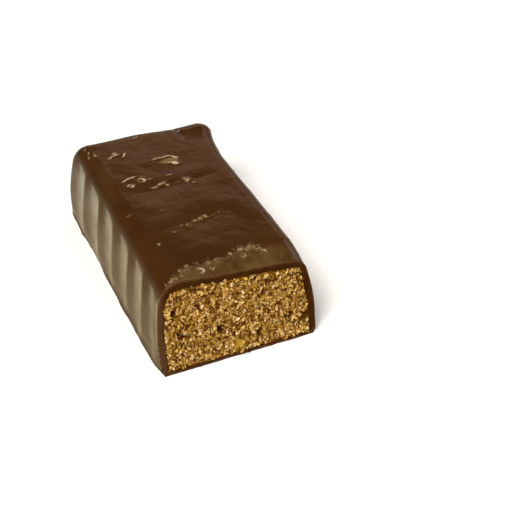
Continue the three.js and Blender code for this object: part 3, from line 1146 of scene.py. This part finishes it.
def crumb_tree():
    """The node tree that scatters chips over a surface."""
    tree = bpy.data.node_groups.new("scattered crumbs", "GeometryNodeTree")
    nodes = Nodes(tree)
    for name, kind in CRUMB_TREE_INPUTS:
        tree.interface.new_socket(name, in_out="INPUT", socket_type=kind)
    tree.interface.new_socket("Geometry", in_out="OUTPUT", socket_type="NodeSocketGeometry")
    given = nodes.add("NodeGroupInput")
    inputs = {name: Socket(nodes, given.output.node.outputs[name]) for name, _ in CRUMB_TREE_INPUTS}
    seed = inputs["Seed"]
    points = nodes.add(
        "GeometryNodeDistributePointsOnFaces",
        {"distribute_method": "POISSON"},
        {
            "Mesh": inputs["Geometry"],
            "Distance Min": inputs["Spacing"],
            "Density Max": inputs["Most Per Area"],
            "Density Factor": inputs["Share"],
            "Seed": seed,
        },
    )
    depth = drawn(nodes, "FLOAT_VECTOR", inputs["Furthest In"], inputs["Furthest Out"], seed)
    points = nodes.add("GeometryNodeSetPosition", None, {"Geometry": points, "Offset": depth})
    chips = nodes.add(
        "GeometryNodeCollectionInfo",
        None,
        {"Collection": inputs["Chips"], "Separate Children": True, "Reset Children": True},
    )
    which = drawn(nodes, "INT", 0, CHIP_SHAPES - 1, seed)
    turn = drawn(nodes, "FLOAT_VECTOR", (0, 0, 0), (FULL_TURN,) * 3, seed)
    size = drawn(nodes, "FLOAT", inputs["Smallest"], inputs["Largest"], seed)
    placed = nodes.add(
        "GeometryNodeInstanceOnPoints",
        None,
        {
            "Points": points,
            "Instance": chips,
            "Pick Instance": True,
            "Instance Index": which,
            "Rotation": turn,
            "Scale": size,
        },
    )
    shade = drawn(nodes, "FLOAT", 0.0, 1.0, seed + 1)
    shaded = nodes.add(
        "GeometryNodeStoreNamedAttribute",
        {"data_type": "FLOAT", "domain": "INSTANCE"},
        {"Geometry": placed, "Name": SHADE, "Value": shade},
    )
    real = nodes.add("GeometryNodeRealizeInstances", None, {"Geometry": shaded})
    sockets = {"Geometry": real, "Material": inputs["Finish"]}
    finished = nodes.add("GeometryNodeSetMaterial", None, sockets)
    nodes.add("NodeGroupOutput", None, {"Geometry": finished})
    return tree


def linked(name, data):
    """A new object in the scene, at the origin."""
    made = bpy.data.objects.new(name, data)
    bpy.context.scene.collection.objects.link(made)
    return made


def scattered_crumbs(name, tree, chips, finish, sizes):
    """Chips of one kind over the filling's cut, as one plain mesh."""
    ground = bar_mesh(f"{name}_ground", [crumb_ground()], CRUMB_SHARP_ANGLE)
    piece = linked(name, ground)
    scatter = piece.modifiers.new("crumbs", "NODES")
    scatter.node_group = tree
    for key, value in {"Chips": chips, "Finish": finish, **sizes}.items():
        scatter[tree.interface.items_tree[key].identifier] = value
    graph = bpy.context.evaluated_depsgraph_get()
    crumbs = bpy.data.meshes.new_from_object(piece.evaluated_get(graph))
    piece.modifiers.remove(scatter)
    piece.data = crumbs
    bpy.data.meshes.remove(ground)
    crumbs.name = name
    return piece


# Pieces


def put_on(piece, slot, *nodes):
    """Makes a piece part of the bar, in place of the solids it stands for."""
    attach(piece, BODY)
    if nodes:
        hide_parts(*nodes)


# The filling's tones from dark to light; its finish picks them partly by relief height, as painted shade
FILLING_TONES = ((0.05, 0.011, 0.0008, 1), (0.105, 0.036, 0.002, 1), (0.32, 0.165, 0.025, 1))
CrumbKind = namedtuple("CrumbKind", "dark light spacing most share sizes depths seed")
CRUMB_KINDS = {
    "golden_crumbs": CrumbKind(
        (0.21, 0.08, 0.0015, 1), (0.65, 0.43, 0.145, 1), 0.46, 12, 0.95, (0.6, 1.2), (0.12, -0.16), 3
    ),
    "pale_flakes": CrumbKind(
        (0.5, 0.325, 0.14, 1), (0.78, 0.62, 0.38, 1), 1.15, 1.3, 0.7, (0.55, 1.1), (0.05, -0.22), 17
    ),
    "brown_crumbs": CrumbKind(
        (0.05, 0.0115, 0.0015, 1), (0.145, 0.049, 0.005, 1), 0.9, 2.2, 0.85, (0.65, 1.25), (0.02, -0.22), 29
    ),
    "yellow_crumbs": CrumbKind(
        (0.3, 0.155, 0.009, 1), (0.55, 0.37, 0.065, 1), 1, 1.6, 0.7, (0.6, 1.2), (0.12, -0.16), 41
    ),
}


def kind_sizes(kind):
    """The scatter's inputs for one kind of crumb, in metres."""
    return {
        "Spacing": kind.spacing * MM,
        "Most Per Area": kind.most / MM**2,
        "Share": kind.share,
        "Furthest In": (0, kind.depths[0] * MM, 0),
        "Furthest Out": (0, kind.depths[1] * MM, 0),
        "Smallest": kind.sizes[0],
        "Largest": kind.sizes[1],
        "Seed": kind.seed,
    }


def make_bar():
    """The coat, the filling and its loose crumbs."""
    coat = linked("chocolate_coat_shell", coat_mesh())
    coat.data.materials.append(chocolate_finish())
    coat.data.materials.append(cut_chocolate_finish())
    put_on(coat, CHOCOLATE_SLOT, "chocolate_coat")

    filling = linked("crumb_filling_block", filling_mesh())
    filling.data.materials.append(crumb_finish("pressed crumb", *FILLING_TONES))
    put_on(filling, CRUMB_SLOT, "crumb_filling")

    tree = crumb_tree()
    chips = chip_shapes()
    for name, kind in CRUMB_KINDS.items():
        finish = grain_finish(name.replace("_", " "), kind.dark, kind.light)
        put_on(scattered_crumbs(name, tree, chips, finish, kind_sizes(kind)), CRUMB_SLOT)
    for chip in list(chips.objects):
        bpy.data.objects.remove(chip)
    bpy.data.collections.remove(chips)


# Stage: floor, light and camera

FLOOR_SIZE = 4
FLOOR_GRID = 8
# Brightness of the studio around, at heights from level, 0, to overhead, 1
SKY_STOPS = ((0, 0.5), (0.15, 0.25), (0.35, 0.08), (0.8, 0.05), (0.92, 0.6), (1, 0.6))
SKY_TONE = (1, 0.95, 0.88)
KEY_TONE = (1, 0.97, 0.92)
FILL_TONE = (1, 0.98, 0.95)
PANEL_TONE = (1, 0.69, 0.47)
Lamp = namedtuple("Lamp", "name place aim wide high power tone")
LAMPS = (
    Lamp("key", (-0.42, -0.42, 0.72), (0, 0, 0), 0.52, 0.52, 12, KEY_TONE),
    Lamp("fill", (0.31, -0.6, 0.83), (0, 0, 0.01), 0.45, 0.45, 1.5, FILL_TONE),
    Lamp("side_fill", (0.62, 0.12, 0.36), (0, 0, 0.01), 0.8, 0.6, 1.8, FILL_TONE),
    Lamp("panel", (0.25, 0.51, 0.23), (0, 0.02, 0.017), 0.5, 0.17, 0.21, PANEL_TONE),
)


def make_floor():
    """The tabletop that the bar lies on."""
    shape = bmesh.new()
    bmesh.ops.create_grid(shape, x_segments=FLOOR_GRID, y_segments=FLOOR_GRID, size=FLOOR_SIZE / 2)
    mesh = bpy.data.meshes.new("floor")
    shape.to_mesh(mesh)
    shape.free()
    mesh.materials.append(floor_finish())
    linked("floor", mesh)


def area_light(lamp):
    """A soft light, turned to what it aims at."""
    light = bpy.data.lights.new(lamp.name, "AREA")
    light.shape = "ELLIPSE"
    light.size = lamp.wide
    light.size_y = lamp.high
    light.energy = lamp.power
    light.color = lamp.tone
    direction = Vector(lamp.aim) - Vector(lamp.place)
    turned = direction.to_track_quat("-Z", "Y").to_matrix().to_4x4()
    linked(lamp.name, light).matrix_world = Matrix.Translation(lamp.place) @ turned


def make_light():
    """A soft studio, dim around, with a large light high on the left and a low panel behind."""
    world = bpy.data.worlds.new("studio")
    world.use_nodes = True
    sky = Nodes(world.node_tree)
    way = sky.add("ShaderNodeTexCoord")
    upwards = sky.add("ShaderNodeSeparateXYZ", None, {0: way}, 2)
    stops = [(height, (*(bright * part for part in SKY_TONE), 1)) for height, bright in SKY_STOPS]
    tone = sky.add("ShaderNodeValToRGB", {"stops": stops}, {"Fac": upwards})
    seen = sky.add("ShaderNodeLightPath", output="Is Camera Ray")
    shining = sky.add("ShaderNodeBackground", None, {"Color": sky.mixed(seen, tone, WHITE)})
    sky.add("ShaderNodeOutputWorld", None, {"Surface": shining})
    bpy.context.scene.world = world
    bpy.context.scene.view_settings.view_transform = "Standard"
    for lamp in LAMPS:
        area_light(lamp)


CAMERA_AZIMUTH = radians(-20.24)
CAMERA_ELEVATION = radians(34.2)
CAMERA_ROLL = radians(-3.72)
CAMERA_DISTANCE = 0.2201
CAMERA_OFFSET = (0.01412, -0.00548)
# What the camera looks at, in the bar's own lengths
CAMERA_AIM = (0, 28.73, 9)
CAMERA_LENS = 84.375
CAMERA_CLIP = 0.01


def make_camera():
    """The camera at the photograph's viewing angle, with the bar left of the middle."""
    away = cos(CAMERA_ELEVATION)
    back = Vector((sin(CAMERA_AZIMUTH) * away, -cos(CAMERA_AZIMUTH) * away, sin(CAMERA_ELEVATION)))
    level = Vector((cos(CAMERA_AZIMUTH), sin(CAMERA_AZIMUTH), 0))
    upright = back.cross(level)
    right = cos(CAMERA_ROLL) * level + sin(CAMERA_ROLL) * upright
    up = cos(CAMERA_ROLL) * upright - sin(CAMERA_ROLL) * level
    aim = Vector(CUT_FOOT + np.array(CAMERA_AIM) * MM)
    eye = aim + back * CAMERA_DISTANCE + right * CAMERA_OFFSET[0] + up * CAMERA_OFFSET[1]
    lens = bpy.data.cameras.new("camera")
    lens.lens = CAMERA_LENS
    lens.clip_start = CAMERA_CLIP
    camera = linked("camera", lens)
    turned = Matrix((right, up, back)).transposed().to_4x4()
    camera.matrix_world = Matrix.Translation(eye) @ turned
    bpy.context.scene.camera = camera


make_bar()
make_floor()
make_light()
make_camera()
